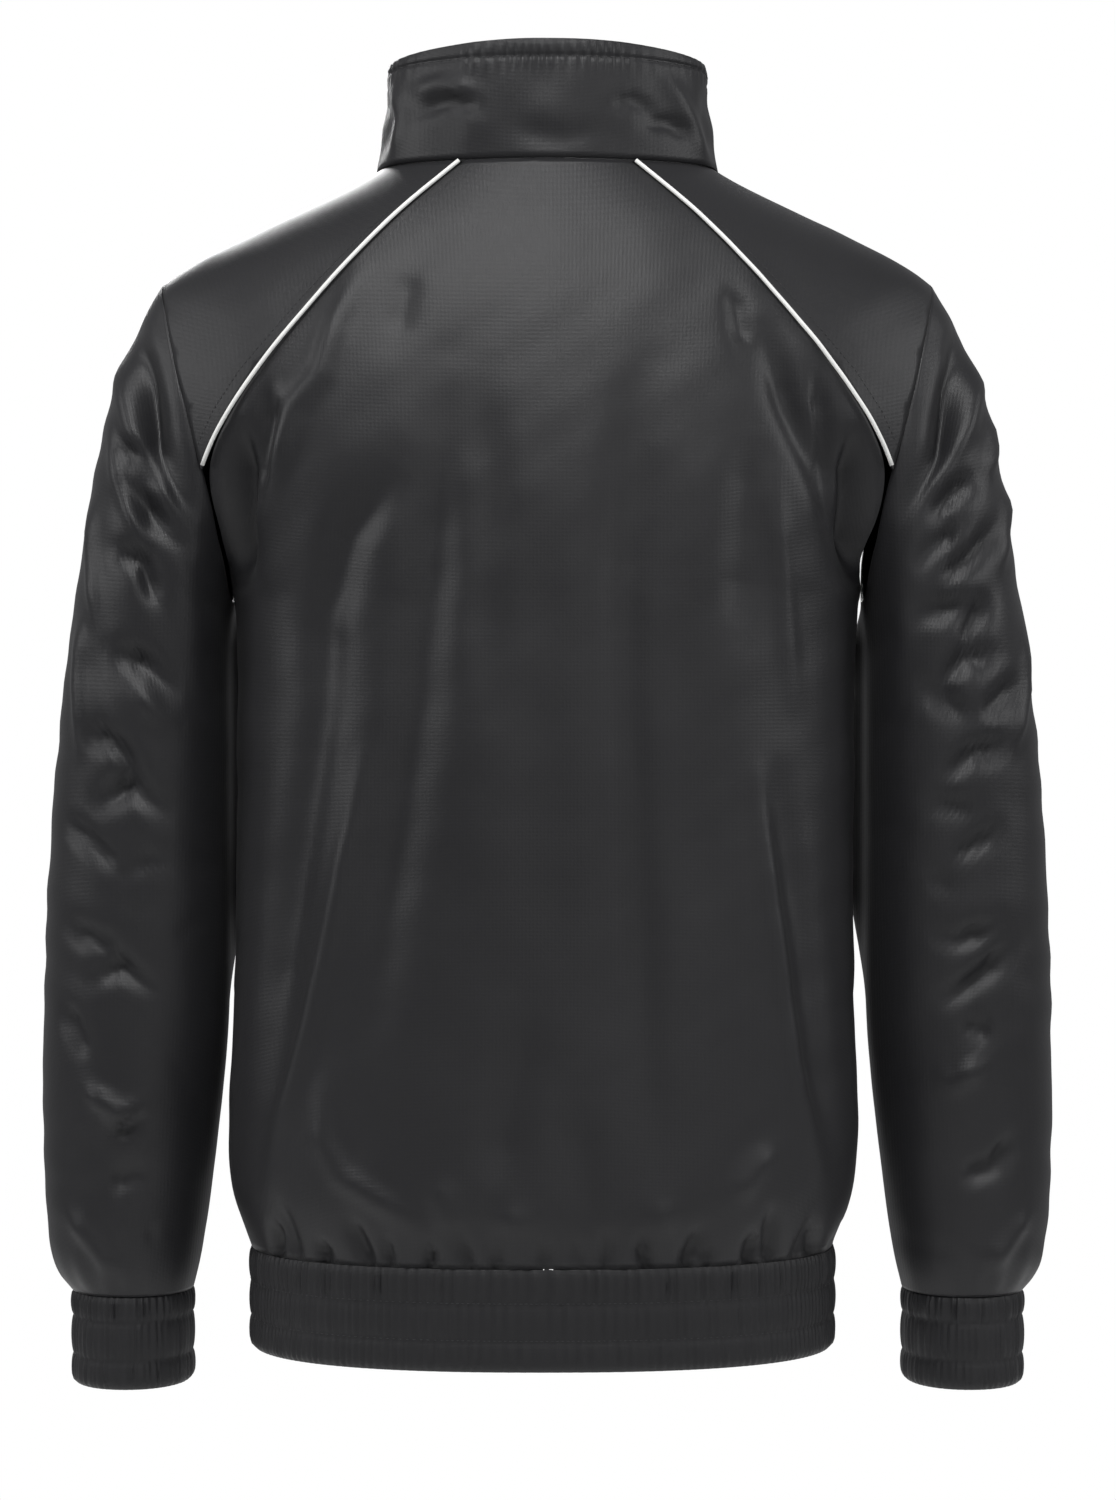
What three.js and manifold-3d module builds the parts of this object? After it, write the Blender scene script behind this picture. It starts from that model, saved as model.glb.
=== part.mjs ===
// A worn windbreaker: stand-up collar, raglan-like yokes with white piping, set-in sleeves,
// and an elasticated waistband and cuffs. The front closes with a zip.
// Millimetres, +Z up. The origin is the centre of the neck opening where it meets the shoulders.
// The front faces -Y and the wearer's left side is +X.
import * as THREE from 'three';
import { mergeVertices } from 'three/addons/utils/BufferGeometryUtils.js';
import Module from 'manifold-3d';

// ---- driving sizes ----
const WALL = 1.6;            // padded nylon of the body and sleeves
const BAND_WALL = 2.4;       // doubled cloth of the collar, waistband and cuffs
const SEAM_GAP = 0.3;
const BAND_PINCH = 0.2;      // how far the stitched rows of a band pull in
const HEM_Z = -610;          // where the body is gathered onto the waistband
const BAND_BOTTOM_Z = -667;
const CUFF_TOP_Z = -638.5;
const CUFF_BOTTOM_Z = -692;
const FRONT_EDGE_X = 6.5;    // from the centre line to the edge of each front
const NECK = { half: 98, back: 61, front: 70, backX: 48, shoulderTurn: 25, backZ: 8 };
const COLLAR_TOP = { half: 92, back: 62, front: 82, backZ: 76, sideZ: 71, frontZ: 42 };
const ARMHOLE = { middleZ: -147.5, reachZ: 93.5 };
const RAGLAN_TURN = THREE.MathUtils.degToRad(102.7);   // place of the slanted back seam on the armhole
const SHOULDER_TURN = THREE.MathUtils.degToRad(-48);   // place of the front shoulder seam on the armhole
const PIPING_RADIUS = 1.25;
const UNDERARM_EASE = 2.2;   // the sleeve stands off the body under the arm
const INNER_ARM_X = 182;     // nearest that the hanging sleeve comes to the centre line

// How many cells each piece has between its seams. Pieces that meet share these counts.
const CELLS = { back: 20, raglan: 7, yoke: 7, armholeLow: 4, armholeFront: 3, side: 10, neckFront: 3, sleeve: 16 };

// Level sections of the body: half width, depth behind and before the centre, squareness.
const SECTIONS = [
  { z: 12, half: 95, back: 60, front: 28, power: 2.0, lean: 0 },
  { z: 0, half: 115, back: 67, front: 38, power: 2.0, lean: 0 },
  { z: -24, half: 167, back: 80, front: 54, power: 2.0, lean: 0 },
  { z: -47, half: 214, back: 91, front: 68, power: 2.0, lean: 0 },
  { z: -60, half: 230, back: 96, front: 75, power: 2.05, lean: 0 },
  { z: -100, half: 241, back: 107, front: 92, power: 2.25, lean: 0 },
  { z: -150, half: 234, back: 117, front: 107, power: 2.35, lean: 0 },
  { z: -200, half: 199, back: 123, front: 115, power: 2.4, lean: 0.4 },
  { z: -242, half: 179, back: 125, front: 119, power: 2.4, lean: 0.6 },
  { z: -320, half: 177, back: 126, front: 121, power: 2.4, lean: 1 },
  { z: -420, half: 177.5, back: 124, front: 120, power: 2.4, lean: 1.6 },
  { z: -540, half: 182.5, back: 124, front: 119, power: 2.4, lean: 2.4 },
  { z: -582, half: 181.5, back: 125, front: 119, power: 2.4, lean: 2.8 },
  { z: -600, half: 175, back: 121, front: 114, power: 2.4, lean: 3 },
  { z: -612, half: 168, back: 113, front: 107, power: 2.4, lean: 3 },
  { z: -668, half: 167, back: 112, front: 107, power: 2.4, lean: 3 },
];
// The slanted back seam, from the neck to the armhole.
const RAGLAN = [
  { z: 8, x: 48 }, { z: -24, x: 83.5 }, { z: -70, x: 125.4 }, { z: -114, x: 161 }, { z: -150, x: 185 }, { z: -168, x: 193 },
];
// How far out the armhole seam lies.
const ARMHOLE_X = [
  { z: -54, x: 222 }, { z: -104, x: 211 }, { z: -153, x: 198 }, { z: -181, x: 190.6 }, { z: -201, x: 184.5 }, { z: -241, x: 179 },
];
// Sleeve sections along the arm: outer and inner edge, half depth and place before or behind the centre.
const SLEEVE = [
  { at: 0.0, outerX: 222, outerZ: -54, innerX: 179.5, innerZ: -241, depth: 64, middleY: 5 },
  { at: 0.125, outerX: 247, outerZ: -100, innerX: 183, innerZ: -274, depth: 67, middleY: 4 },
  { at: 0.25, outerX: 263, outerZ: -166, innerX: 183.5, innerZ: -317, depth: 67, middleY: 2 },
  { at: 0.375, outerX: 276.5, outerZ: -250, innerX: 183.5, innerZ: -372, depth: 65.5, middleY: -2 },
  { at: 0.5, outerX: 287, outerZ: -341, innerX: 183.5, innerZ: -436, depth: 63.5, middleY: -6 },
  { at: 0.625, outerX: 293, outerZ: -433, innerX: 185.5, innerZ: -493, depth: 61.5, middleY: -10 },
  { at: 0.75, outerX: 295, outerZ: -519, innerX: 191.5, innerZ: -548, depth: 58.5, middleY: -13 },
  { at: 0.875, outerX: 293.5, outerZ: -592, innerX: 198.5, innerZ: -602, depth: 55, middleY: -15 },
  { at: 0.9375, outerX: 290, outerZ: -624, innerX: 202.5, innerZ: -624, depth: 51, middleY: -16 },
  { at: 1.0, outerX: 278, outerZ: CUFF_TOP_Z, innerX: 206.5, innerZ: CUFF_TOP_Z, depth: 44.5, middleY: -17 },
];
// The largest folds of the body: soft troughs (depth below zero) and ridges from one place to another.
const BODY_FOLDS = [
  { face: 'back', x1: 172, z1: -152, x2: 172, z2: -235, width: 8, depth: -7 },
  { face: 'back', x1: -172, z1: -152, x2: -170, z2: -235, width: 8, depth: -7 },
  { face: 'back', x1: 82, z1: -185, x2: 125, z2: -340, width: 13, depth: -4 },
  { face: 'back', x1: 60, z1: -160, x2: 72, z2: -430, width: 12, depth: -4 },
  { face: 'back', x1: -58, z1: -130, x2: -48, z2: -560, width: 13, depth: -4 },
  { face: 'back', x1: -122, z1: -100, x2: -164, z2: -230, width: 11, depth: -5 },
  { face: 'back', x1: 98, z1: -360, x2: 150, z2: -560, width: 11, depth: 3 },
  { face: 'back', x1: -112, z1: -370, x2: -148, z2: -560, width: 11, depth: 3 },
  { face: 'front', x1: 150, z1: -170, x2: 100, z2: -330, width: 14, depth: -4 },
  { face: 'front', x1: -148, z1: -180, x2: -105, z2: -350, width: 14, depth: -4 },
  { face: 'front', x1: 70, z1: -380, x2: 110, z2: -570, width: 13, depth: -3 },
  { face: 'front', x1: -64, z1: -400, x2: -116, z2: -565, width: 13, depth: -3 },
];
// The largest folds of a sleeve, by part of the way down and turn from the outer edge (+ is the back).
const SLEEVE_FOLDS = [
  { at1: 0.06, turn1: 55, at2: 0.3, turn2: 120, width: 0.035, depth: -6 },
  { at1: 0.3, turn1: 60, at2: 0.36, turn2: 125, width: 0.03, depth: -4 },
  { at1: 0.46, turn1: 50, at2: 0.54, turn2: 120, width: 0.03, depth: -5 },
  { at1: 0.62, turn1: 125, at2: 0.66, turn2: 60, width: 0.03, depth: -4 },
  { at1: 0.78, turn1: 60, at2: 0.83, turn2: 120, width: 0.03, depth: -4 },
  { at1: 0.2, turn1: -60, at2: 0.32, turn2: -125, width: 0.035, depth: -5 },
  { at1: 0.5, turn1: -55, at2: 0.56, turn2: -120, width: 0.03, depth: -5 },
];

// ---- small helpers ----
const radians = THREE.MathUtils.degToRad;
const lerp = THREE.MathUtils.lerp;
const range = (count) => [...Array(count + 1).keys()];

// A smooth reading of one column of a table at a place along its key column.
function read(table, key, column, place) {
  const rising = table[1][key] > table[0][key] ? 1 : -1;
  const last = table.length - 1;
  let i = 0;
  while (i < last - 1 && rising * (place - table[i + 1][key]) > 0) i += 1;
  const slope = (k) => {
    const a = table[Math.max(k - 1, 0)];
    const b = table[Math.min(k + 1, last)];
    return (b[column] - a[column]) / (b[key] - a[key]);
  };
  const span = table[i + 1][key] - table[i][key];
  const t = THREE.MathUtils.clamp((place - table[i][key]) / span, 0, 1);
  const u = 1 - t;
  return table[i][column] * u * u * (1 + 2 * t) + table[i + 1][column] * t * t * (3 - 2 * t)
    + span * (slope(i) * t * u * u - slope(i + 1) * t * t * u);
}

const signedPower = (value, power) => Math.sign(value) * Math.abs(value) ** power;

// Height of a fold at a distance from its line, fading at its ends.
function foldHeight(along, away, fold) {
  const ends = Math.max(0, Math.min(1, Math.min(along, 1 - along) * 4 + 0.35));
  const outside = along < 0 || along > 1 ? 0 : 1;
  return fold.depth * ends * outside * Math.exp(-((away / fold.width) ** 2));
}

// ---- the body's form ----
function bodyRow(z) {
  const row = {};
  for (const column of ['half', 'back', 'front', 'power', 'lean']) row[column] = read(SECTIONS, 'z', column, z);
  return row;
}

// A point of the plain form, by turn (0 at the wearer's left, a quarter turn at the centre back) and level.
function plainBodyPoint(turn, z) {
  const row = bodyRow(z);
  const depth = Math.sin(turn) >= 0 ? row.back : row.front;
  const x = row.lean + row.half * signedPower(Math.cos(turn), 2 / row.power);
  return new THREE.Vector3(x, depth * signedPower(Math.sin(turn), 2 / row.power), z);
}

function bodyNormal(turn, z) {
  const step = 0.02;
  const across = plainBodyPoint(turn + step, z).sub(plainBodyPoint(turn - step, z));
  const up = plainBodyPoint(turn, z + 1).sub(plainBodyPoint(turn, z - 1));
  return across.cross(up).normalize();
}

function bodyFold(point) {
  let height = 0;
  for (const fold of BODY_FOLDS) {
    if ((fold.face === 'back') !== point.y > 0) continue;
    const line = new THREE.Vector2(fold.x2 - fold.x1, fold.z2 - fold.z1);
    const from = new THREE.Vector2(point.x - fold.x1, point.z - fold.z1);
    const along = from.dot(line) / line.lengthSq();
    height += foldHeight(along, from.cross(line) / line.length(), fold);
  }
  return height;
}

function bodyPoint({ turn, z }) {
  const point = plainBodyPoint(turn, z);
  const normal = bodyNormal(turn, z);
  return { point: point.addScaledVector(normal, bodyFold(point)), normal };
}

// The turn at which the form reaches a distance from the centre line, on the wearer's left.
function turnAt(x, z, face) {
  const row = bodyRow(z);
  return face * Math.acos(Math.min(1, x / row.half) ** (row.power / 2));
}

// ---- seam lines, as places on the form, on the wearer's left ----
function armholePlace(turn) {
  const z = ARMHOLE.middleZ + ARMHOLE.reachZ * Math.cos(turn);
  const end = Math.abs(Math.sin(turn)) < 1e-6;
  return { turn: end ? 0 : turnAt(read(ARMHOLE_X, 'z', 'x', z), z, Math.sign(turn)), z };
}

function raglanPlace(part) {
  const z = lerp(NECK.backZ, armholePlace(RAGLAN_TURN).z, part ** 1.15);
  return { turn: turnAt(read(RAGLAN, 'z', 'x', z), z, 1), z };
}

// The neck seam, by its turn in plan. Its level is where the form passes through it.
function neckPlace(planTurn) {
  const x = NECK.half * Math.cos(planTurn);
  const y = (planTurn > 0 ? NECK.back : NECK.front) * Math.sin(planTurn);
  let high = 11;
  let low = -120;
  for (let i = 0; i < 40; i += 1) {
    const z = (high + low) / 2;
    const row = bodyRow(z);
    const depth = y > 0 ? row.back : row.front;
    const size = (x / row.half) ** row.power + (Math.abs(y) / depth) ** row.power;
    if (size > 1) high = z;
    else low = z;
  }
  const row = bodyRow(low);
  return { turn: (y > 0 ? 1 : -1) * Math.acos(Math.min(1, (x / row.half) ** (row.power / 2))), z: low };
}

const neckSide = neckPlace(-1e-4).z;
function yokeNeckPlace(part) {
  const start = raglanPlace(0);
  const end = neckPlace(-radians(NECK.shoulderTurn));
  const turn = lerp(start.turn, end.turn, part);
  if (turn > 0) return { turn, z: lerp(neckSide, NECK.backZ, turn / start.turn) };
  return { turn, z: lerp(neckSide, end.z, (turn / end.turn) ** 1.3) };
}

function shoulderPlace(part) {
  const start = yokeNeckPlace(1);
  const end = armholePlace(SHOULDER_TURN);
  return { turn: lerp(start.turn, end.turn, part), z: lerp(start.z, end.z, part) };
}

// ---- cloth walls ----
const cloth = (colour, roughness) => new THREE.MeshStandardMaterial({ color: colour, roughness, metalness: 0 });
const NYLON = cloth(0x242526, 0.5);
const RIB = cloth(0x202122, 0.6);
const WHITE = cloth(0xe8e8e4, 0.5);
const TAPE = cloth(0x1b1c1d, 0.8);
const METAL = new THREE.MeshStandardMaterial({ color: 0x3a3b3d, roughness: 0.4, metalness: 0.8 });

const garment = new THREE.Group();

function addMesh(name, positions, faces, material) {
  const geometry = new THREE.BufferGeometry();
  geometry.setAttribute('position', new THREE.Float32BufferAttribute(positions, 3));
  geometry.setIndex(faces);
  geometry.computeVertexNormals();
  const mesh = new THREE.Mesh(geometry, material);
  mesh.name = name;
  garment.add(mesh);
  return mesh;
}

function volumeSign(positions, faces) {
  let volume = 0;
  const corner = (i) => new THREE.Vector3().fromArray(positions, 3 * i);
  for (let i = 0; i < faces.length; i += 3) {
    volume += corner(faces[i]).dot(corner(faces[i + 1]).cross(corner(faces[i + 2])));
  }
  return Math.sign(volume);
}

// A wall of cloth under a grid of places. Its open edges stand half a seam gap back from the seam.
function addWall(name, grid, thickness, material, closed = false) {
  const rows = grid.length;
  const columns = grid[0].length;
  const points = grid.map((row) => row.map((place) => place.point.clone()));
  const pull = (r, c, r2, c2) => {
    const inward = grid[r2][c2].point.clone().sub(grid[r][c].point).setLength(SEAM_GAP / 2);
    points[r][c].add(inward);
  };
  for (let c = 0; c < columns; c += 1) {
    pull(0, c, 1, c);
    pull(rows - 1, c, rows - 2, c);
  }
  for (let r = 0; r < rows && !closed; r += 1) {
    pull(r, 0, r, 1);
    pull(r, columns - 1, r, columns - 2);
  }
  const positions = [];
  for (const depth of [0, thickness]) {
    for (let r = 0; r < rows; r += 1) {
      for (let c = 0; c < columns; c += 1) {
        positions.push(...points[r][c].clone().addScaledVector(grid[r][c].normal, -depth).toArray());
      }
    }
  }
  const inner = rows * columns;
  const at = (r, c) => r * columns + (c % columns);
  const faces = [];
  const quad = (a, b, c, d) => faces.push(a, b, c, a, c, d);
  const lastColumn = closed ? columns : columns - 1;
  for (let r = 0; r < rows - 1; r += 1) {
    for (let c = 0; c < lastColumn; c += 1) {
      quad(at(r, c), at(r + 1, c), at(r + 1, c + 1), at(r, c + 1));
      quad(inner + at(r, c), inner + at(r, c + 1), inner + at(r + 1, c + 1), inner + at(r + 1, c));
    }
  }
  for (let c = 0; c < lastColumn; c += 1) {
    quad(at(0, c), at(0, c + 1), inner + at(0, c + 1), inner + at(0, c));
    quad(at(rows - 1, c + 1), at(rows - 1, c), inner + at(rows - 1, c), inner + at(rows - 1, c + 1));
  }
  for (let r = 0; r < rows - 1 && !closed; r += 1) {
    quad(at(r + 1, 0), at(r, 0), inner + at(r, 0), inner + at(r + 1, 0));
    quad(at(r, columns - 1), at(r + 1, columns - 1), inner + at(r + 1, columns - 1), inner + at(r, columns - 1));
  }
  if (volumeSign(positions, faces) < 0) {
    for (let i = 0; i < faces.length; i += 3) [faces[i], faces[i + 1]] = [faces[i + 1], faces[i]];
  }
  return addMesh(name, positions, faces, material);
}

// The wearer's right side is the left side turned over.
const flipPlace = ({ turn, z }) => ({ turn: Math.PI - turn, z });
const onSide = (side, place) => (side > 0 ? place : flipPlace(place));

// ---- back ----
const lowArmhole = (k) => lerp(RAGLAN_TURN, Math.PI, k / CELLS.armholeLow);
const sideLevel = (k) => lerp(armholePlace(Math.PI).z, HEM_Z, (k / CELLS.side) ** 0.9);
const backEdge = [
  ...range(CELLS.raglan).map((k) => raglanPlace(k / CELLS.raglan)),
  ...range(CELLS.armholeLow).slice(1).map((k) => armholePlace(lowArmhole(k))),
  ...range(CELLS.side).slice(1).map((k) => ({ turn: 0, z: sideLevel(k) })),
];
const backGrid = backEdge.map((edge) => range(CELLS.back).map((i) => {
  const turn = lerp(edge.turn, Math.PI - edge.turn, i / CELLS.back);
  return bodyPoint({ turn, z: edge.z });
}));
addWall('back_panel', backGrid, WALL, NYLON);

// A patch between four seam lines, each a list of places on the form.
function patch(top, bottom, left, right) {
  return left.map((_, r) => top.map((__, c) => {
    const u = c / (top.length - 1);
    const v = (left[r].z - left[0].z) / (left.at(-1).z - left[0].z || 1);
    const w = left.length > CELLS.yoke + 1 ? v : r / (left.length - 1);
    const blend = (key) => (1 - w) * top[c][key] + w * bottom[c][key] + (1 - u) * left[r][key] + u * right[r][key]
      - (1 - u) * (1 - w) * top[0][key] - u * (1 - w) * top.at(-1)[key]
      - (1 - u) * w * bottom[0][key] - u * w * bottom.at(-1)[key];
    return { turn: blend('turn'), z: blend('z') };
  }));
}

// ---- yokes ----
const yokePart = (k) => lerp(RAGLAN_TURN, SHOULDER_TURN, k / CELLS.yoke);
const yokePlaces = patch(
  range(CELLS.raglan).map((k) => raglanPlace(k / CELLS.raglan)),
  range(CELLS.raglan).map((k) => shoulderPlace(k / CELLS.raglan)),
  range(CELLS.yoke).map((k) => yokeNeckPlace(k / CELLS.yoke)),
  range(CELLS.yoke).map((k) => armholePlace(yokePart(k))),
);

// ---- fronts ----
const neckFrontPart = (k) => lerp(Math.acos(FRONT_EDGE_X / NECK.half), radians(NECK.shoulderTurn), k / CELLS.neckFront);
const frontTop = [
  ...range(CELLS.neckFront).map((k) => neckPlace(-neckFrontPart(k))),
  ...range(CELLS.raglan).slice(1).map((k) => shoulderPlace(k / CELLS.raglan)),
];
frontTop[CELLS.neckFront] = yokeNeckPlace(1);
const frontArm = (k) => lerp(SHOULDER_TURN, -RAGLAN_TURN, k / CELLS.armholeFront);
const frontOuter = [
  ...range(CELLS.armholeFront).map((k) => armholePlace(frontArm(k))),
  ...range(CELLS.armholeLow).slice(1).map((k) => armholePlace(-lowArmhole(k))),
  ...range(CELLS.side).slice(1).map((k) => ({ turn: 0, z: sideLevel(k) })),
];
const zipEdge = (z) => ({ turn: turnAt(FRONT_EDGE_X, z, -1), z });
const neckFrontZ = frontTop[0].z;
const shoulderEndZ = frontOuter[0].z;
const frontInner = frontOuter.map(({ z }) => zipEdge(lerp(neckFrontZ, HEM_Z, (z - shoulderEndZ) / (HEM_Z - shoulderEndZ))));
const frontBottom = frontTop.map((_, c) => ({
  turn: lerp(frontInner.at(-1).turn, 0, c / (frontTop.length - 1)),
  z: HEM_Z,
}));
const frontPlaces = patch(frontTop, frontBottom, frontInner, frontOuter);

const SIDES = [['left', 1], ['right', -1]];
const placeGrid = (places, side) => places.map((row) => row.map((place) => bodyPoint(onSide(side, place))));
for (const [word, side] of SIDES) {
  addWall(`yoke_${word}`, placeGrid(yokePlaces, side), WALL, NYLON);
  addWall(`front_${word}`, placeGrid(frontPlaces, side), WALL, NYLON);
}

// ---- sleeves and cuffs ----
const armTurns = [
  ...range(CELLS.yoke).map((k) => yokePart(CELLS.yoke - k)),
  ...range(CELLS.armholeLow).slice(1).map((k) => lowArmhole(k)),
  ...range(CELLS.armholeLow).slice(1).map((k) => -lowArmhole(CELLS.armholeLow - k)),
  ...range(CELLS.armholeFront).slice(1, -1).map((k) => frontArm(CELLS.armholeFront - k)),
];

function sleeveFold(at, turn) {
  let height = 0;
  for (const fold of SLEEVE_FOLDS) {
    const line = new THREE.Vector2(fold.at2 - fold.at1, radians(fold.turn2 - fold.turn1) / 8);
    const from = new THREE.Vector2(at - fold.at1, (turn - radians(fold.turn1)) / 8);
    height += foldHeight(from.dot(line) / line.lengthSq(), from.cross(line) / line.length(), fold);
  }
  return height;
}

function sleevePoint(at, turn, bulge = 0) {
  const row = {};
  for (const column of ['outerX', 'outerZ', 'innerX', 'innerZ', 'depth', 'middleY']) {
    row[column] = read(SLEEVE, 'at', column, at);
  }
  const reach = signedPower(Math.cos(turn), 0.94);
  const half = new THREE.Vector3(row.outerX - row.innerX, 0, row.outerZ - row.innerZ).multiplyScalar(0.5);
  const middle = new THREE.Vector3(row.outerX + row.innerX, 2 * row.middleY, row.outerZ + row.innerZ).multiplyScalar(0.5);
  middle.addScaledVector(half, reach * (1 + bulge / half.length()));
  middle.y += (row.depth + bulge) * signedPower(Math.sin(turn), 0.94);
  return middle;
}

function sleeveNormal(at, turn) {
  const step = 0.01;
  const along = sleevePoint(Math.min(at + step, 1), turn).sub(sleevePoint(Math.max(at - step, 0), turn));
  const around = sleevePoint(at, turn + 0.05).sub(sleevePoint(at, turn - 0.05));
  return along.cross(around).normalize();
}

function sleeveGrid() {
  const seam = armTurns.map((turn) => bodyPoint(armholePlace(turn)));
  return range(CELLS.sleeve).map((r) => armTurns.map((turn, c) => {
    const at = r / CELLS.sleeve;
    const hold = Math.max(0, 1 - at / 0.2) ** 1.6;
    const point = sleevePoint(at, turn).addScaledVector(sleeveNormal(at, turn), sleeveFold(at, turn) * (1 - hold));
    point.addScaledVector(seam[c].point.clone().sub(sleevePoint(0, turn)), hold);
    const under = THREE.MathUtils.smoothstep(Math.abs(turn), radians(95), radians(150));
    const normal = sleeveNormal(at, turn).lerp(seam[c].normal, hold * (1 - under)).normalize();
    point.x += UNDERARM_EASE * under * Math.min(1, hold * 1.5);
    if (under > 0.98) point.x = Math.max(point.x, INNER_ARM_X);
    return { point, normal };
  }));
}

function cuffGrid() {
  const top = sleevePoint(1, 0);
  const levels = [0, 0.27, 0.69, 1];
  return levels.map((level, r) => armTurns.map((turn) => {
    const pinch = r === 1 || r === 2 ? -BAND_PINCH : 0;
    const point = sleevePoint(1, turn, pinch - 2.5 * level);
    point.z = lerp(top.z, CUFF_BOTTOM_Z, level);
    const normal = sleeveNormal(1, turn).setZ(0).normalize();
    return { point, normal };
  }));
}

const mirrorGrid = (grid) => grid.map((row) => row.map(({ point, normal }) => ({
  point: point.clone().setX(-point.x),
  normal: normal.clone().setX(-normal.x),
})));
for (const [word, side] of SIDES) {
  const pose = side > 0 ? (grid) => grid : mirrorGrid;
  addWall(`sleeve_${word}`, pose(sleeveGrid()), WALL, NYLON, true);
  addWall(`cuff_${word}`, pose(cuffGrid()), BAND_WALL, RIB, true);
}

// ---- waistband ----
const hemTurns = [
  ...frontBottom.map(({ turn }) => turn),
  ...range(CELLS.back).slice(1).map((i) => lerp(0, Math.PI, i / CELLS.back)),
  ...[...frontBottom].reverse().slice(1).map(({ turn }) => Math.PI - turn),
];
const bandGrid = [0, 0.33, 0.69, 1].map((level, r) => hemTurns.map((turn) => {
  const z = lerp(HEM_Z, BAND_BOTTOM_Z, level);
  const point = plainBodyPoint(turn, z);
  const normal = bodyNormal(turn, -640);
  return { point: point.addScaledVector(normal, r === 1 || r === 2 ? -BAND_PINCH : 0), normal };
}));
addWall('waistband', bandGrid, BAND_WALL, RIB);

// ---- collar ----
const neckRing = [
  ...range(CELLS.neckFront).map((k) => frontTop[k]),
  ...range(CELLS.yoke).slice(1).map((k) => yokeNeckPlace(1 - k / CELLS.yoke)),
];
const backNeck = range(CELLS.back).slice(1).map((i) => ({
  turn: lerp(backEdge[0].turn, Math.PI - backEdge[0].turn, i / CELLS.back),
  z: backEdge[0].z,
}));
const collarRing = [...neckRing, ...backNeck, ...[...neckRing].reverse().slice(1).map(flipPlace)];

function collarColumn(place) {
  const base = plainBodyPoint(place.turn, place.z);
  const depth = base.y > 0 ? NECK.back : NECK.front;
  const turn = Math.atan2(base.y / depth, base.x / NECK.half);
  const behind = Math.sin(turn) > 0;
  const topDepth = behind ? COLLAR_TOP.back : COLLAR_TOP.front;
  const rise = Math.sin(turn) ** 2;
  const topZ = lerp(COLLAR_TOP.sideZ, behind ? COLLAR_TOP.backZ : COLLAR_TOP.frontZ, rise);
  const top = new THREE.Vector3(COLLAR_TOP.half * Math.cos(turn), topDepth * Math.sin(turn), topZ);
  if (Math.abs(base.x) <= FRONT_EDGE_X + 0.5 && !behind) top.x = base.x;
  const outward = new THREE.Vector3(Math.cos(turn) / NECK.half, Math.sin(turn) / depth, 0).normalize();
  return { base, top, outward };
}
const collarColumns = collarRing.map(collarColumn);
const COLLAR_LEVELS = [{ at: 0, out: 0.6 }, { at: 0.45, out: 1.4 }, { at: 0.86, out: 0 }, { at: 0.93, out: 0.9 }, { at: 1, out: 0 }];
const collarGrid = COLLAR_LEVELS.map(({ at, out }) => collarColumns.map(({ base, top, outward }) => ({
  point: base.clone().lerp(top, at).addScaledVector(outward, out).add(new THREE.Vector3(0, 0, 0.6 * (1 - at))),
  normal: outward,
})));
addWall('collar', collarGrid, BAND_WALL, RIB);

// ---- piping, lying on the slanted back seams ----
for (const [word, side] of SIDES) {
  const path = range(CELLS.raglan * 2).map((k) => {
    const part = lerp(0.015, 0.985, k / (CELLS.raglan * 2));
    const { point, normal } = bodyPoint(onSide(side, raglanPlace(part)));
    return point.addScaledVector(normal, PIPING_RADIUS + SEAM_GAP + 0.25);
  });
  const round = new THREE.Shape().absarc(0, 0, PIPING_RADIUS, 0, 2 * Math.PI, false);
  const geometry = new THREE.ExtrudeGeometry(round, {
    extrudePath: new THREE.CatmullRomCurve3(path),
    steps: CELLS.raglan * 2,
    curveSegments: 6,
    bevelEnabled: false,
  });
  const mesh = new THREE.Mesh(geometry, WHITE);
  mesh.name = `piping_${word}`;
  garment.add(mesh);
}

// ---- zip ----
const ZIP = { chainHalf: 2.6, chainFront: 1.2, chain: 2.8, tapeIn: 2.9, tapeOut: 8.8, tapeFront: 3.3, tape: 0.8 };
const CHEST_Z = -90;         // above this level the zip leans back with the chest
const sliderZ = COLLAR_TOP.frontZ - 12;
const bandFrontY = plainBodyPoint(-Math.PI / 2, BAND_BOTTOM_Z).y;

// Where the closed fronts lie on the centre line: waistband, body, then collar.
function zipLine(z) {
  if (z < neckFrontZ) return plainBodyPoint(-Math.PI / 2, z).y;
  return lerp(-NECK.front - 0.6, -COLLAR_TOP.front, (z - neckFrontZ) / (COLLAR_TOP.frontZ - neckFrontZ));
}

function zipStrip(name, from, to, x1, x2, front, thickness, material) {
  const seams = [0.69, 0.33].map((level) => lerp(HEM_Z, BAND_BOTTOM_Z, level));
  seams.push(...[...frontInner].reverse().map((place) => place.z));
  const levels = [from, ...seams.filter((z) => z > from + 2 && z < to - 2), to];
  const grid = levels.map((z) => {
    const slope = z < CHEST_Z ? 0 : (zipLine(z + 4) - zipLine(z - 4)) / 8;
    const normal = new THREE.Vector3(0, -1, slope).normalize();
    return [x1, x2].map((x) => ({
      point: new THREE.Vector3(x, zipLine(z), z).addScaledVector(normal, -front),
      normal,
    }));
  });
  return addWall(name, grid, thickness, material);
}
for (const [word, side] of SIDES) {
  const edges = [ZIP.tapeIn * side, ZIP.tapeOut * side];
  zipStrip(`zip_tape_${word}`, BAND_BOTTOM_Z + 1, COLLAR_TOP.frontZ - 1, ...edges, ZIP.tapeFront, ZIP.tape, TAPE);
}
const boxTop = BAND_BOTTOM_Z + 12;
zipStrip('zip_chain', boxTop, sliderZ + 0.6, -ZIP.chainHalf, ZIP.chainHalf, ZIP.chainFront, ZIP.chain, METAL);

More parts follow.
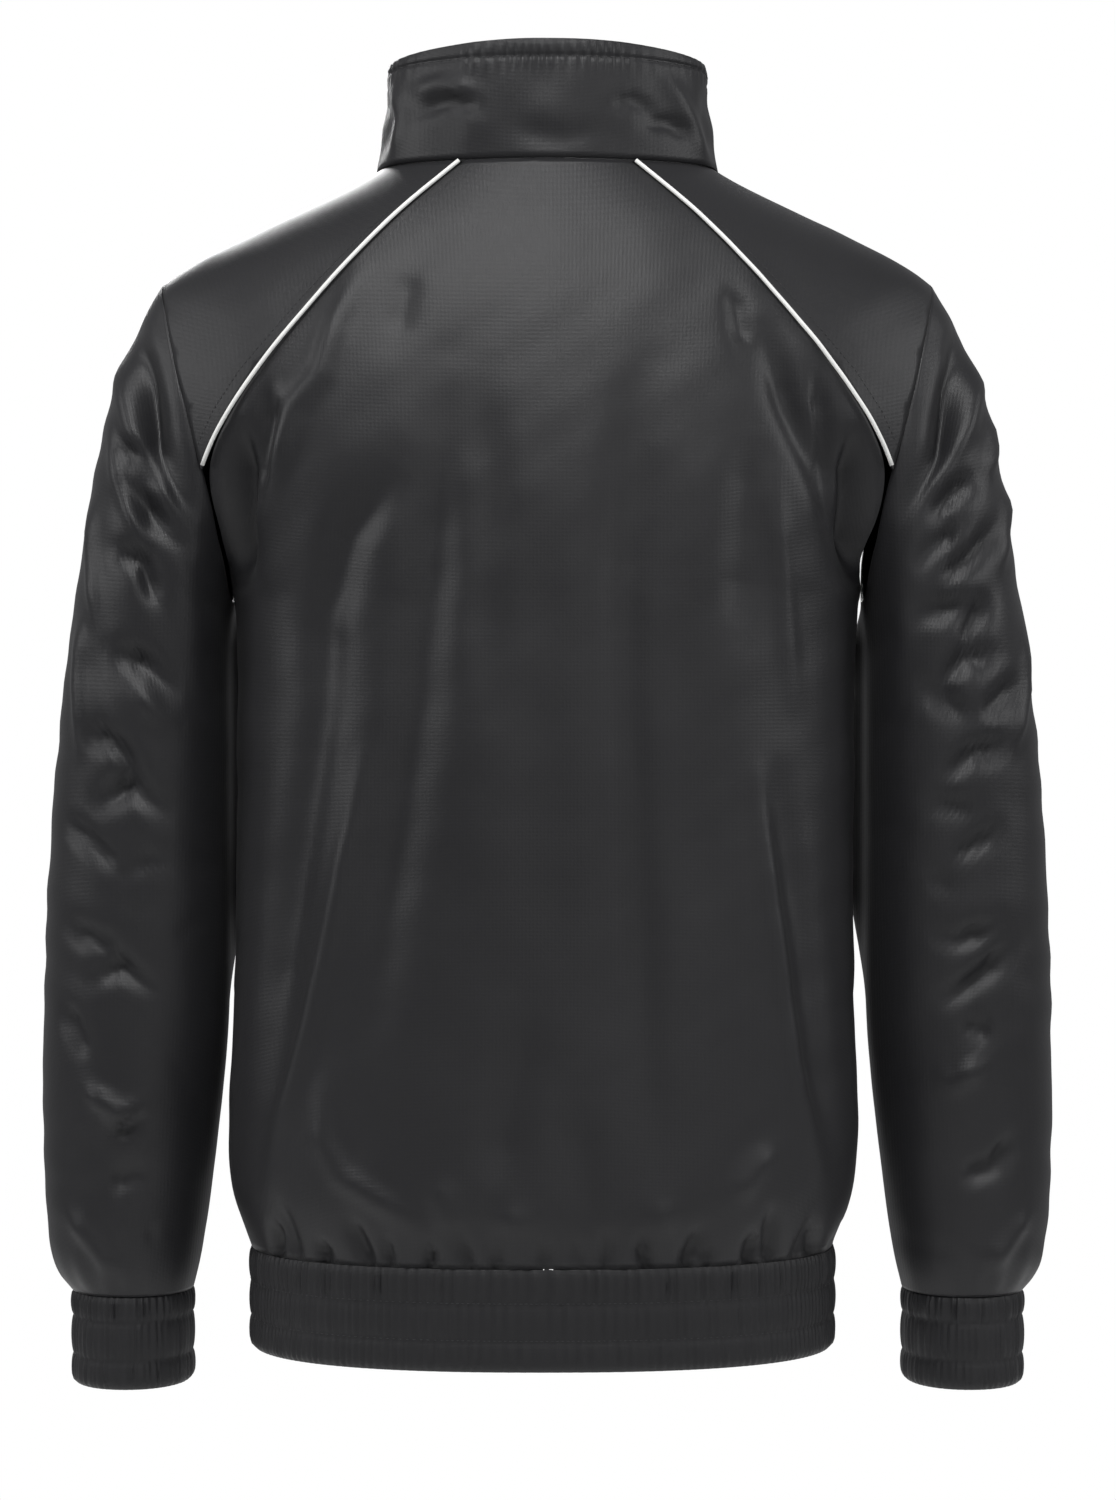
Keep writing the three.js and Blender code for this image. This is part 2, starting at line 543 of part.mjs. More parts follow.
// An upright block with rounded corners, cut from the X-Z plane.
function block(width, height, thickness, radius) {
  const shape = new THREE.Shape();
  const w = width / 2;
  const h = height / 2;
  shape.moveTo(-w + radius, -h);
  shape.lineTo(w - radius, -h);
  shape.absarc(w - radius, -h + radius, radius, -Math.PI / 2, 0, false);
  shape.absarc(w - radius, h - radius, radius, 0, Math.PI / 2, false);
  shape.absarc(-w + radius, h - radius, radius, Math.PI / 2, Math.PI, false);
  shape.absarc(-w + radius, -h + radius, radius, Math.PI, 1.5 * Math.PI, false);
  const geometry = new THREE.ExtrudeGeometry(shape, { depth: thickness, curveSegments: 4, bevelEnabled: false });
  return geometry.rotateX(Math.PI / 2);
}

function addHard(name, geometry, x, y, z) {
  const mesh = new THREE.Mesh(geometry, METAL);
  mesh.name = name;
  mesh.position.set(x, y, z);
  garment.add(mesh);
}
addHard('zip_box', block(5.2, 10, 3, 0.8), 0, bandFrontY + ZIP.chainFront + 2.8, boxTop - 5.6);

// ---- slider and pull, at the top of the zip ----
const SLIDER = { width: 9.6, height: 12, plate: 1.3, clear: 1.05, crownWidth: 2.4, crownOut: 3.4, crownHeight: 9 };
const PULL = { bar: 1.2, width: 6.8, arm: 1.5, window: 8, length: 27, thickness: 1.2 };
const lineY = zipLine(sliderZ);
const frontPlateBack = lineY + ZIP.chainFront - SLIDER.clear;
const frontPlateFace = frontPlateBack - SLIDER.plate;
const backPlateFront = lineY + ZIP.tapeFront + ZIP.tape + SLIDER.clear;

const wasm = await Module();
wasm.setup();
function solid(geometry, x, y, z) {
  const bare = geometry.clone().translate(x, y, z);
  bare.deleteAttribute('normal');
  bare.deleteAttribute('uv');
  const merged = mergeVertices(bare, 1e-4);
  return new wasm.Manifold(new wasm.Mesh({
    numProp: 3,
    vertProperties: new Float32Array(merged.attributes.position.array),
    triVerts: new Uint32Array(merged.index.array),
  }));
}
function fromSolid(name, body) {
  const mesh = body.getMesh();
  addMesh(name, [...mesh.vertProperties], [...mesh.triVerts], METAL);
}

// Two plates joined above the end of the chain, with an arch (the crown) on the front plate.
const plates = [frontPlateBack, backPlateFront + SLIDER.plate]
  .map((y) => solid(block(SLIDER.width, SLIDER.height, SLIDER.plate, 2), 0, y, sliderZ));
const bridgeDepth = backPlateFront - frontPlateBack + 0.6;
const bridge = solid(block(3.6, 4, bridgeDepth, 1), 0, backPlateFront + 0.3, sliderZ + 3.2);
const crown = solid(block(SLIDER.crownWidth, SLIDER.crownHeight, SLIDER.crownOut, 0.6), 0, frontPlateFace + 0.2, sliderZ - 0.5);
const barRoom = solid(new THREE.BoxGeometry(SLIDER.crownWidth + 1, 2.2, SLIDER.crownHeight - 3.2), 0, frontPlateFace - 1.1, sliderZ - 0.5);
fromSolid('zip_slider', plates[0].add(plates[1]).add(bridge).add(crown).subtract(barRoom));

// The pull hangs from a cross bar under the crown: two arms around a window, then a flat tongue.
const pivot = new THREE.Vector3(0, frontPlateFace - 1.1, sliderZ - 0.6);
const tongueTop = PULL.window;
const armX = (PULL.width - PULL.arm) / 2;
const bar = solid(new THREE.CylinderGeometry(PULL.bar / 2, PULL.bar / 2, PULL.width, 12).rotateZ(Math.PI / 2), ...pivot);
const halfThick = PULL.thickness / 2;
const arms = [-armX, armX].map((x) => (
  solid(block(PULL.arm, PULL.window + 1, PULL.thickness, 0.5), x, pivot.y + halfThick, pivot.z - PULL.window / 2)
));
const tongueHeight = PULL.length - tongueTop;
const tongue = solid(block(PULL.width, tongueHeight, PULL.thickness, 2), 0, pivot.y + halfThick, pivot.z - tongueTop - tongueHeight / 2 + 1);
fromSolid('zip_pull', bar.add(arms[0]).add(arms[1]).add(tongue));

export default garment;
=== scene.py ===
# %% [markdown]
# # A black windbreaker, seen from behind
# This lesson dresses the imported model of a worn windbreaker: soft creased nylon, a waistband and cuffs
# gathered on elastic, white piping, rows of stitches and a zip. Lengths are in metres. The front
# faces -Y and the wearer's left side is +X.

# %% Load the frame
import bpy
import bmesh
import math
import random
import numpy as np
from mathutils import Matrix, Vector
from mathutils.bvhtree import BVHTree


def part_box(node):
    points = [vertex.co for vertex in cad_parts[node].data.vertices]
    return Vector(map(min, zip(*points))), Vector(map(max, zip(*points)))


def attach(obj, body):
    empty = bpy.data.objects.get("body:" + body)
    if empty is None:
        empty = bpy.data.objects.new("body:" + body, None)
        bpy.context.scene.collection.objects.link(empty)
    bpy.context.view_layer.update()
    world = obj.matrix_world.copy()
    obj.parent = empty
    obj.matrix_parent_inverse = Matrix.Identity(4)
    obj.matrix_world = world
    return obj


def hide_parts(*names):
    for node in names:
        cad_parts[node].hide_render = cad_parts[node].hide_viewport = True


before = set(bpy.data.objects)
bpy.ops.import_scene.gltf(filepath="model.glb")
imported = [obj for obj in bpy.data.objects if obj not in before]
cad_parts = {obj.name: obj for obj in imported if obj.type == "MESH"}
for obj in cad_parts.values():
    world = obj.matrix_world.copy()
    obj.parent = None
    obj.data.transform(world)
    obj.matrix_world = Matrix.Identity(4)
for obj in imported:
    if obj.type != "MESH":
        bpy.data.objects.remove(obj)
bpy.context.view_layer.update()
MM = 0.001

# %% [markdown]
# ## Camera and light
# A long lens far away keeps the garment's outline square. The lamps are large and soft, because satin
# nylon shows its creases as broad, gentle highlights. The background is white only to the camera, so
# it adds no light to the cloth.

# %% Camera
scene = bpy.context.scene
scene.view_settings.view_transform = "Standard"
CAMERA_DISTANCE = 2.08
camera = bpy.data.objects.new("camera", bpy.data.cameras.new("camera"))
scene.collection.objects.link(camera)
camera.location = (-0.006, CAMERA_DISTANCE, -0.325)
camera.rotation_euler = (math.pi / 2, 0, math.pi)
camera.data.lens = 36 * CAMERA_DISTANCE / 0.87
scene.camera = camera


# %% Lamps
def lamp(name, place, size, power, look_at=(0, 0, -0.3)):
    light = bpy.data.lights.new(name, "AREA")
    light.size = size
    light.energy = power
    obj = bpy.data.objects.new(name, light)
    scene.collection.objects.link(obj)
    obj.location = place
    obj.rotation_euler = (Vector(look_at) - Vector(place)).to_track_quat("-Z", "Y").to_euler()
    return obj


lamp("top_back", (0.25, 1.5, 1.9), 0.9, 58)
lamp("wide_back", (-0.9, 2.7, 0.4), 1.2, 12)
lamp("left_rim", (1.9, 0.5, 0.5), 0.8, 15)
lamp("right_rim", (-1.9, 0.5, 0.5), 0.8, 15)
lamp("front_fill", (0.4, -2.2, 1.1), 1.2, 40)


# %% [markdown]
# ## Shader maths in words
# A finish is easier to read as an expression than as a web of nodes. `Value` wraps one socket, and
# adding or multiplying two of them adds the Math node that does it.

# %% Shader helper
class Value:
    def __init__(self, tree, socket):
        self.tree = tree
        self.socket = socket

    def math(self, operation, other):
        return self.tree.node("ShaderNodeMath", {"operation": operation}, {0: self, 1: other})

    def __add__(self, other):
        return self.math("ADD", other)

    def __mul__(self, other):
        return self.math("MULTIPLY", other)

    def __sub__(self, other):
        return self.math("SUBTRACT", other)

    def __rsub__(self, other):
        return self.tree.node("ShaderNodeMath", {"operation": "SUBTRACT"}, {0: other, 1: self})

    __radd__ = __add__
    __rmul__ = __mul__


class Finish:
    def __init__(self, name, **uniform):
        self.material = bpy.data.materials.new(name)
        self.material.use_nodes = True
        self.tree = self.material.node_tree
        self.shader = self.tree.nodes["Principled BSDF"]
        for socket, value in uniform.items():
            self.shader.inputs[socket.replace("_", " ")].default_value = value

    def node(self, kind, settings, sockets, output=0):
        made = self.tree.nodes.new(kind)
        for key, value in settings.items():
            setattr(made, key, value)
        for key, value in sockets.items():
            if isinstance(value, Value):
                self.tree.links.new(value.socket, made.inputs[key])
            else:
                made.inputs[key].default_value = value
        return Value(self, made.outputs[output])

    def place(self):
        return self.node("ShaderNodeTexCoord", {}, {}, "Object")

    def noise(self, scale, detail=3.0):
        return self.node("ShaderNodeTexNoise", {}, {"Vector": self.place(), "Scale": scale, "Detail": detail})

    def wave(self, direction, scale):
        settings = {"bands_direction": direction}
        return self.node("ShaderNodeTexWave", settings, {"Vector": self.place(), "Scale": scale})

    def mix(self, factor, first, second):
        sockets = {0: factor, 6: first, 7: second}
        return self.node("ShaderNodeMix", {"data_type": "RGBA"}, sockets, 2)

    def bump(self, height, strength, distance):
        sockets = {"Height": height, "Strength": strength, "Distance": distance}
        self.feed("Normal", self.node("ShaderNodeBump", {}, sockets))

    def feed(self, socket, value):
        self.tree.links.new(value.socket, self.shader.inputs[socket])


# %% [markdown]
# ## Finishes
# The shell is a charcoal-black satin nylon: a tight plain weave, a broad soft shine, and slight
# unevenness where the cloth is rubbed. The bands are the same cloth, rougher because it is gathered, with its colour
# made darker as painted shade between the gathers.

# %% Cloth finishes
def nylon(name, dark, light, roughness, weave):
    finish = Finish(name, Specular_IOR_Level=0.3, Sheen_Weight=0.02, Sheen_Roughness=0.5)
    wear = finish.noise(9.0)
    fleck = finish.noise(900.0, 1.0)
    finish.feed("Base Color", finish.mix(wear * 0.7 + fleck * 0.3, (*dark, 1), (*light, 1)))
    finish.feed("Roughness", wear * 0.1 + fleck * 0.05 + (roughness - 0.07))
    threads = finish.wave("X", weave) + finish.wave("Z", weave)
    finish.bump(threads * 0.35 + fleck * 0.5 + finish.noise(120.0) * 0.5, 0.35, 0.0004)
    return finish.material


NYLON = nylon("black_nylon", (0.010, 0.010, 0.0112), (0.018, 0.018, 0.0195), 0.4, 420.0)
# The bands' cloth is rougher, and its colour is darker as painted shade between the gathers.
RIB = nylon("gathered_nylon_painted_shade", (0.008, 0.008, 0.009), (0.015, 0.015, 0.0165), 0.48, 420.0)
THREAD = nylon("black_thread", (0.02, 0.02, 0.021), (0.05, 0.05, 0.052), 0.6, 900.0)
TAPE = nylon("zip_tape_weave", (0.008, 0.008, 0.009), (0.016, 0.016, 0.017), 0.75, 300.0)
PIPING = nylon("white_piping", (0.72, 0.72, 0.70), (0.86, 0.86, 0.84), 0.5, 700.0)


def dark_metal():
    finish = Finish("dark_zip_metal", Metallic=0.85)
    rub = finish.noise(260.0)
    finish.feed("Base Color", finish.mix(rub, (0.03, 0.03, 0.032, 1), (0.09, 0.09, 0.094, 1)))
    finish.feed("Roughness", rub * 0.25 + 0.28)
    return finish.material


METAL = dark_metal()
print("finishes", [m.name for m in (NYLON, RIB, THREAD, TAPE, PIPING, METAL)])


# %% [markdown]
# ## Creases
# A crease is a soft trough or ridge that follows a few places on the cloth and fades out at both
# ends. Each row names its places (X and Z, in millimetres, as seen from behind), its half width and
# its height, which is below zero for a trough. Real creases are uneven, so every row differs.

# %% Crease helper
def crease_height(x, z, rows):
    total = np.zeros(len(x))
    for places, width, height in rows:
        path = np.array(places, float)
        steps = np.linalg.norm(np.diff(path, axis=0), axis=1)
        length = steps.sum()
        best = np.full(len(x), 1e9)
        along = np.zeros(len(x))
        done = 0.0
        for start, end, step in zip(path[:-1], path[1:], steps):
            way = (end - start) / step
            t = np.clip((x - start[0]) * way[0] + (z - start[1]) * way[1], 0, step)
            away = np.hypot(x - start[0] - t * way[0], z - start[1] - t * way[1])
            closer = away < best
            best[closer] = away[closer]
            along[closer] = (done + t[closer]) / length
            done += step
        fade = np.clip(np.minimum(along, 1 - along) * 3.2 + 0.22, 0, 1)
        total += height * fade * np.exp(-((best / width) ** 2))
    return total


# %% Creases of the back
BACK_CREASES = [
    ([(170, -148), (172, -176), (172, -229)], 6, -9), ([(-171, -150), (-174, -186), (-175, -223)], 6, -9),
    ([(154, -124), (158, -156), (162, -187)], 6, -5), ([(-151, -116), (-157, -152), (-163, -181)], 6, -5),
    ([(104, -62), (116, -86), (124, -116), (140, -136), (151, -167), (158, -188)], 7, 3.2),
    ([(-123, -94), (-135, -136), (-157, -180), (-173, -225)], 9, -5),
    ([(-104, -70), (-109, -102)], 6, -2.5), ([(76, -60), (84, -96)], 8, -1.6),
    ([(82, -168), (110, -207), (124, -257), (128, -299)], 12, -4.5),
    ([(119, -268), (133, -352), (145, -434), (154, -507)], 11, -4.5),
    ([(54, -112), (60, -176), (64, -237), (72, -300), (86, -387), (98, -483)], 15, -4.2),
    ([(36, -118), (31, -176), (34, -299)], 12, -2.4),
    ([(-57, -114), (-46, -156), (-41, -240), (-48, -387), (-52, -505), (-59, -554)], 15, -4.2),
    ([(-115, -150), (-111, -197), (-105, -259)], 12, -3), ([(-125, -174), (-137, -299)], 6, 1.8),
    ([(-75, -230), (-84, -420)], 16, -2), ([(8, -180), (4, -420)], 20, -1.6),
    ([(100, -327), (119, -422), (133, -481), (150, -540), (154, -570)], 6, 3),
    ([(-116, -338), (-125, -411), (-137, -500), (-153, -561)], 6, 3.2),
    ([(-128, -338), (-138, -411), (-150, -500), (-163, -556)], 9, -3),
    ([(9, -468), (18, -505), (28, -565)], 12, -3), ([(-14, -520), (-22, -585)], 12, -2),
    ([(124, -514), (124, -540), (114, -559), (91, -573), (69, -588)], 7, 3),
    ([(-123, -545), (-104, -572)], 7, 2.6), ([(60, -560), (52, -590)], 8, 2),
    ([(-66, -572), (-60, -592)], 8, 2.4), ([(20, -575), (16, -592)], 9, 2.6),
]
FRONT_CREASES = [
    ([(168, -150), (172, -190), (173, -228)], 6, -7), ([(-168, -146), (-172, -188), (-174, -226)], 6, -7),
    ([(150, -120), (152, -150), (160, -184)], 7, -4), ([(-146, -112), (-154, -150), (-162, -180)], 7, -4),
    ([(96, -90), (112, -130), (146, -176)], 9, -3.5), ([(-92, -84), (-118, -136), (-150, -184)], 9, -3.5),
    ([(84, -180), (100, -260), (94, -360)], 13, -4), ([(-76, -170), (-104, -270), (-100, -330)], 13, -4),
    ([(46, -130), (40, -240), (52, -400)], 13, -3), ([(-50, -150), (-42, -280), (-56, -430)], 13, -3),
    ([(110, -350), (130, -450), (150, -552)], 8, 3), ([(-116, -330), (-128, -440), (-152, -556)], 8, 3),
    ([(70, -430), (60, -520), (74, -580)], 12, -3), ([(-72, -450), (-64, -530), (-80, -582)], 12, -3),
    ([(26, -500), (30, -582)], 8, -2.4), ([(-24, -470), (-30, -580)], 8, -2.4),
]


def gathers(seed, from_x, to_x):
    """Short uneven tucks where the body is gathered onto the waistband."""
    draw = random.Random(seed)
    rows = []
    x = from_x
    while x < to_x:
        rise = draw.uniform(9, 30)
        lean = draw.uniform(-9, 9) + 0.05 * x
        rows.append(([(x, -612), (x + lean, -608 + rise)], draw.uniform(2.6, 4.4), -draw.uniform(2.4, 5.0)))
        x += draw.uniform(9, 27)
    return rows


BACK_CREASES += gathers(4, -160, 166)
FRONT_CREASES += gathers(9, -160, 166)

# %% Creases of the sleeves, seen from behind
LEFT_CREASES = [
    ([(236, -90), (227, -120), (217, -153), (201, -184), (185, -208), (178, -224)], 8, -8),
    ([(247, -96), (239, -124), (229, -156), (214, -186), (197, -210)], 7, 3.4),
    ([(243, -152), (228, -161), (217, -180)], 6, -4), ([(236, -176), (221, -191), (201, -210), (181, -241)], 7, -6),
    ([(244, -212), (228, -219), (217, -243)], 6, -4.5),
    ([(247, -268), (223, -277), (205, -293), (189, -310)], 7, -6),
    ([(234, -290), (217, -307), (189, -312)], 6, 3.6), ([(203, -234), (185, -245)], 5, -4),
    ([(202, -273), (193, -270), (185, -302)], 5, -4.5), ([(262, -313), (243, -322), (231, -337)], 6, -4.5),
    ([(254, -355), (234, -344), (208, -363), (194, -368)], 7, -6), ([(275, -365), (260, -376), (243, -393)], 5, -3),
    ([(236, -395), (224, -387), (185, -391)], 6, -4.5), ([(272, -426), (243, -439)], 6, -3.4),
    ([(257, -454), (241, -447), (215, -464)], 6, -5), ([(212, -433), (194, -419)], 5, -4),
    ([(263, -516), (243, -532), (227, -527)], 6, 3.4), ([(245, -543), (227, -533)], 5, -3.6),
    ([(230, -603), (208, -598)], 6, -4), ([(272, -590), (245, -625)], 6, 2.4),
    ([(249, -138), (243, -173), (227, -209)], 4, 2.2), ([(259, -183), (260, -212), (255, -255)], 4, 2.2),
    ([(265, -251), (267, -281), (265, -328)], 4, 2.4), ([(276, -470), (262, -500)], 6, -2.6),
    ([(214, -500), (200, -522)], 6, -3), ([(250, -572), (226, -564)], 7, -3),
]
RIGHT_CREASES = [
    ([(-236, -87), (-234, -110), (-220, -157), (-206, -179), (-190, -203), (-180, -224)], 8, -8),
    ([(-243, -92), (-244, -114), (-237, -141), (-224, -163), (-200, -200)], 6, 3.4),
    ([(-244, -172), (-228, -180), (-212, -197)], 6, -4.5), ([(-232, -199), (-214, -212), (-204, -226)], 6, -4.5),
    ([(-254, -199), (-240, -216), (-218, -231)], 6, -4.5),
    ([(-238, -242), (-210, -248), (-196, -258), (-184, -274)], 7, -6), ([(-250, -239), (-234, -265)], 6, -4),
    ([(-254, -272), (-236, -273), (-216, -290)], 6, -4.5), ([(-236, -306), (-212, -291), (-184, -322)], 7, -6),
    ([(-269, -285), (-246, -306)], 6, -3.4), ([(-260, -322), (-238, -327), (-220, -343)], 6, -4.5),
    ([(-241, -359), (-219, -355), (-184, -375)], 7, -6), ([(-255, -371), (-241, -379), (-228, -385)], 5, -3.4),
    ([(-229, -402), (-213, -398), (-194, -405)], 6, -4.5), ([(-255, -425), (-231, -433), (-204, -428)], 6, -4.5),
    ([(-264, -437), (-250, -450), (-215, -472)], 6, -5), ([(-249, -500), (-231, -515), (-206, -508)], 6, 3.4),
    ([(-267, -545), (-255, -562), (-234, -568)], 6, -3.6), ([(-229, -611), (-196, -605)], 6, -4),
    ([(-254, -132), (-254, -153), (-250, -170)], 4, 2.2), ([(-263, -172), (-259, -208), (-256, -223)], 4, 2.2),
    ([(-275, -251), (-273, -291), (-263, -328)], 4, 2.4), ([(-274, -590), (-250, -622)], 6, 2.4),
    ([(-216, -540), (-200, -552)], 6, -3), ([(-252, -486), (-236, -480)], 6, -3),
]


def mirrored(rows):
    return [([(-x, z) for x, z in places], width, height) for places, width, height in rows]


print("creases", len(BACK_CREASES), len(FRONT_CREASES), len(LEFT_CREASES), len(RIGHT_CREASES))


# %% [markdown]
# ## Cloth shells
# Every panel starts as a copy of its plain solid. Its doubles are merged, its triangles become quads
# again, and its rim is creased so that it stays crisp while a Subdivision Surface rounds the rest.
# Then the fine cloth is pushed in and out by the crease tables.

# %% Copy and refine a panel
def only(obj):
    bpy.ops.object.select_all(action="DESELECT")
    obj.select_set(True)
    bpy.context.view_layer.objects.active = obj


def refined_copy(node, name, levels, rim_angle=55):
    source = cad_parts[node]
    piece = bpy.data.objects.new(name, source.data.copy())
    scene.collection.objects.link(piece)
    only(piece)
    bpy.ops.object.mode_set(mode="EDIT")
    bpy.ops.mesh.select_all(action="SELECT")
    bpy.ops.mesh.remove_doubles(threshold=2e-6)
    bpy.ops.mesh.tris_convert_to_quads(face_threshold=1.2, shape_threshold=1.6)
    bpy.ops.object.mode_set(mode="OBJECT")
    sharp = piece.data.attributes.new("crease_edge", "FLOAT", "EDGE")
    mesh = bmesh.new()
    mesh.from_mesh(piece.data)
    for edge in mesh.edges:
        angle = edge.calc_face_angle(0)
        sharp.data[edge.index].value = 1.0 if angle > math.radians(rim_angle) else 0.0
    mesh.free()
    subdivide = piece.modifiers.new("fine", "SUBSURF")
    subdivide.levels = subdivide.render_levels = levels
    bpy.ops.object.modifier_apply(modifier="fine")
    bpy.ops.object.shade_smooth_by_angle(angle=math.radians(50))
    return piece


def points_of(piece):
    flat = np.empty(3 * len(piece.data.vertices))
    piece.data.vertices.foreach_get("co", flat)
    return flat.reshape(-1, 3)


def set_points(piece, points):
    piece.data.vertices.foreach_set("co", points.ravel())
    piece.data.update()


def outward(points, middle_x, middle_y, half_x, half_y):
    """The level direction away from a form's middle, at each point."""
    way = np.stack([(points[:, 0] - middle_x) / half_x**2, (points[:, 1] - middle_y) / half_y**2], 1)
    return way / np.maximum(np.linalg.norm(way, axis=1), 1e-9)[:, None]


def finish_piece(piece, material, node, body="jacket"):
    piece.data.materials.clear()
    piece.data.materials.append(material)
    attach(piece, body)
    if node:
        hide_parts(node)
    return piece


# %% [markdown]
# ## The body of the jacket
# Back, fronts, yokes and piping all take their creases from the same two tables, so that a fold that
# crosses a seam carries on in the next piece.

# %% Push the body's creases
def small_ripples(x, z, seed):
    draw = random.Random(seed)
    total = np.zeros(len(x))
    for _ in range(9):
        turn = draw.uniform(0, math.pi)
        size = draw.uniform(24, 60)
        total += np.sin((x * math.cos(turn) + z * math.sin(turn)) * 2 * math.pi / size + draw.uniform(0, 6.3))
    return total * 0.09


DEPTH = {"body": 1.5, "sleeve": 1.75, "collar": 1.4}


def crease_body(piece):
    points = points_of(piece)
    way = outward(points, 0.0015, 0, 0.18, 0.122)
    x = points[:, 0] / MM
    z = points[:, 2] / MM
    back = np.clip(way[:, 1] * 2.2, 0, 1)
    front = np.clip(-way[:, 1] * 2.2, 0, 1)
    zip_ease = np.clip((np.abs(x) - 6) / 22, 0, 1)
    height = crease_height(x, z, BACK_CREASES) * back + crease_height(x, z, FRONT_CREASES) * front * zip_ease
    height = height * DEPTH["body"]
    beside = np.clip(1 - np.abs(z + 335) / 130, 0, 1) ** 0.5 * np.clip(1 - np.abs(points[:, 1] - 0.012) / 0.05, 0, 1)
    height += 2.2 * beside
    height += small_ripples(x, z, 3) * np.clip((-z - 4) / 20, 0, 1)
    hold = np.clip((z + 612) / 7, 0, 1) * np.clip((8 - z) / 16, 0.15, 1)
    points[:, :2] += way * (height * hold * MM)[:, None]
    set_points(piece, points)


BODY_PIECES = [
    ("back_panel", "back_cloth"), ("front_left", "front_left_cloth"), ("front_right", "front_right_cloth"),
    ("yoke_left", "yoke_left_cloth"), ("yoke_right", "yoke_right_cloth"),
]
cloths = {}
for node, name in BODY_PIECES:
    cloths[name] = refined_copy(node, name, 3)
    crease_body(cloths[name])
    finish_piece(cloths[name], NYLON, node)
for side in ("left", "right"):
    name = f"piping_{side}_cord"
    cloths[name] = refined_copy(f"piping_{side}", name, 2)
    crease_body(cloths[name])
    finish_piece(cloths[name], PIPING, f"piping_{side}")
print("body pieces", {n: len(o.data.polygons) for n, o in cloths.items()})

# %% [markdown]
# ## Sleeves
# A sleeve buckles into short diamond creases that fan out from the inside of the arm. The hidden front
# of each sleeve takes the other sleeve's creases, turned over.

# %% Push the sleeves' creases
ARM = {"half_x": 0.05, "half_y": 0.062}
HUG = 12 * MM


def crease_sleeve(piece, side):
    points = points_of(piece)
    z = points[:, 2] / MM
    middle_x = side * np.interp(-z, [54, 166, 341, 519, 640], [200, 222, 236, 243, 242]) * MM
    middle_y = np.interp(-z, [54, 341, 640], [4, -6, -17]) * MM
    way = outward(points, middle_x, middle_y, ARM["half_x"], ARM["half_y"])
    x = points[:, 0] / MM
    own = LEFT_CREASES if side > 0 else RIGHT_CREASES
    other = mirrored(RIGHT_CREASES if side > 0 else LEFT_CREASES)
    back = np.clip(way[:, 1] * 1.9 + 0.15, 0, 1)
    front = np.clip(-way[:, 1] * 1.9 + 0.15, 0, 1)
    height = (crease_height(x, z, own) * back + crease_height(x, z, other) * front) * DEPTH["sleeve"]
    height += small_ripples(x, z, 5) * 1.6
    hold = np.clip((z + 640) / 9, 0, 1)
    tucks = sum(math.cos(k) * np.sin(k * np.arctan2(way[:, 1], way[:, 0]) + k) for k in (7, 11, 16))
    height += tucks * 0.5 * np.clip((z + 640) / 6, 0, 1) * np.clip((-605 - z) / 20, 0, 1)
    inner = np.clip(1 + side * way[:, 0] * 1.6, 0.1, 1)
    points[:, :2] += way * (height * hold * inner * MM)[:, None]
    # the hanging sleeve rests against the body's side, a little in front of its widest place
    lean = np.exp(-(((points[:, 1] / MM + 36) / 17) ** 2)) * np.clip(-side * way[:, 0], 0, 1)
    lean *= np.clip((z + 470) / 60, 0, 1) * np.clip((-235 - z) / 30, 0, 1)
    points[:, 0] -= side * lean * HUG
    set_points(piece, points)


for side, word in ((1, "left"), (-1, "right")):
    name = f"sleeve_{word}_cloth"
    cloths[name] = refined_copy(f"sleeve_{word}", name, 3)
    crease_sleeve(cloths[name], side)
    finish_piece(cloths[name], NYLON, f"sleeve_{word}")
print("sleeves", [len(cloths[f"sleeve_{w}_cloth"].data.polygons) for w in ("left", "right")])

# %% [markdown]
# ## Collar
# The stand-up collar is doubled cloth, folded at its top edge and topstitched under it. It slumps
# into a few slanted creases at its sides.

# %% Collar with its creases
COLLAR_CREASES = [
    ([(74, 38), (56, 42), (38, 37)], 4, -2.6), ([(78, 50), (60, 53), (40, 46)], 5, 2),
    ([(96, 60), (92, 36), (97, 14)], 5, -2), ([(90, 58), (84, 36), (88, 14)], 5, 2),
    ([(-54, 29), (-68, 31), (-82, 26)], 4, -2.8), ([(-66, 60), (-80, 37), (-92, 11)], 5, 2.2),
    ([(-36, 38), (-48, 42), (-62, 36)], 4, -2), ([(-94, 60), (-92, 36), (-97, 14)], 5, -2),
    ([(20, 24), (-10, 20), (-30, 24)], 7, -1.2),
]
name = "collar_cloth"
cloths[name] = refined_copy("collar", name, 3)
points = points_of(cloths[name])
way = outward(points, 0, -0.006, 0.097, 0.07)
x, z = points[:, 0] / MM, points[:, 2] / MM
behind = np.clip(way[:, 1] * 2 + 0.6, 0, 1) * DEPTH["collar"]
stitch_z = np.where(points[:, 1] > 0, 66, 61 + 26 * points[:, 1] / 0.08)
groove = -0.9 * np.exp(-(((z - stitch_z) / 1.3) ** 2))
around = np.arctan2(points[:, 1], points[:, 0])
pucker = 0.45 * np.sin(around * 74 + 2 * np.sin(around * 9)) * np.exp(-(((z - stitch_z) / 6) ** 2))
height = crease_height(x, z, COLLAR_CREASES) * behind + groove + pucker + small_ripples(x, z, 8) * 1.2
height *= np.clip((z + 48) / 10, 0, 1)
points[:, :2] += way * (height * MM)[:, None]
set_points(cloths[name], points)
finish_piece(cloths[name], NYLON, "collar")
print("collar", len(cloths[name].data.polygons))


# %% [markdown]
# ## Elastic bands
# The waistband and cuffs are doubled cloth, sewn over elastic in three channels. The stretched rows
# pinch in, and the cloth between them puffs out in fine upright gathers. A grid is bent round the
# band's plan shape, so that the gathers can be finer than the panel's own cells.

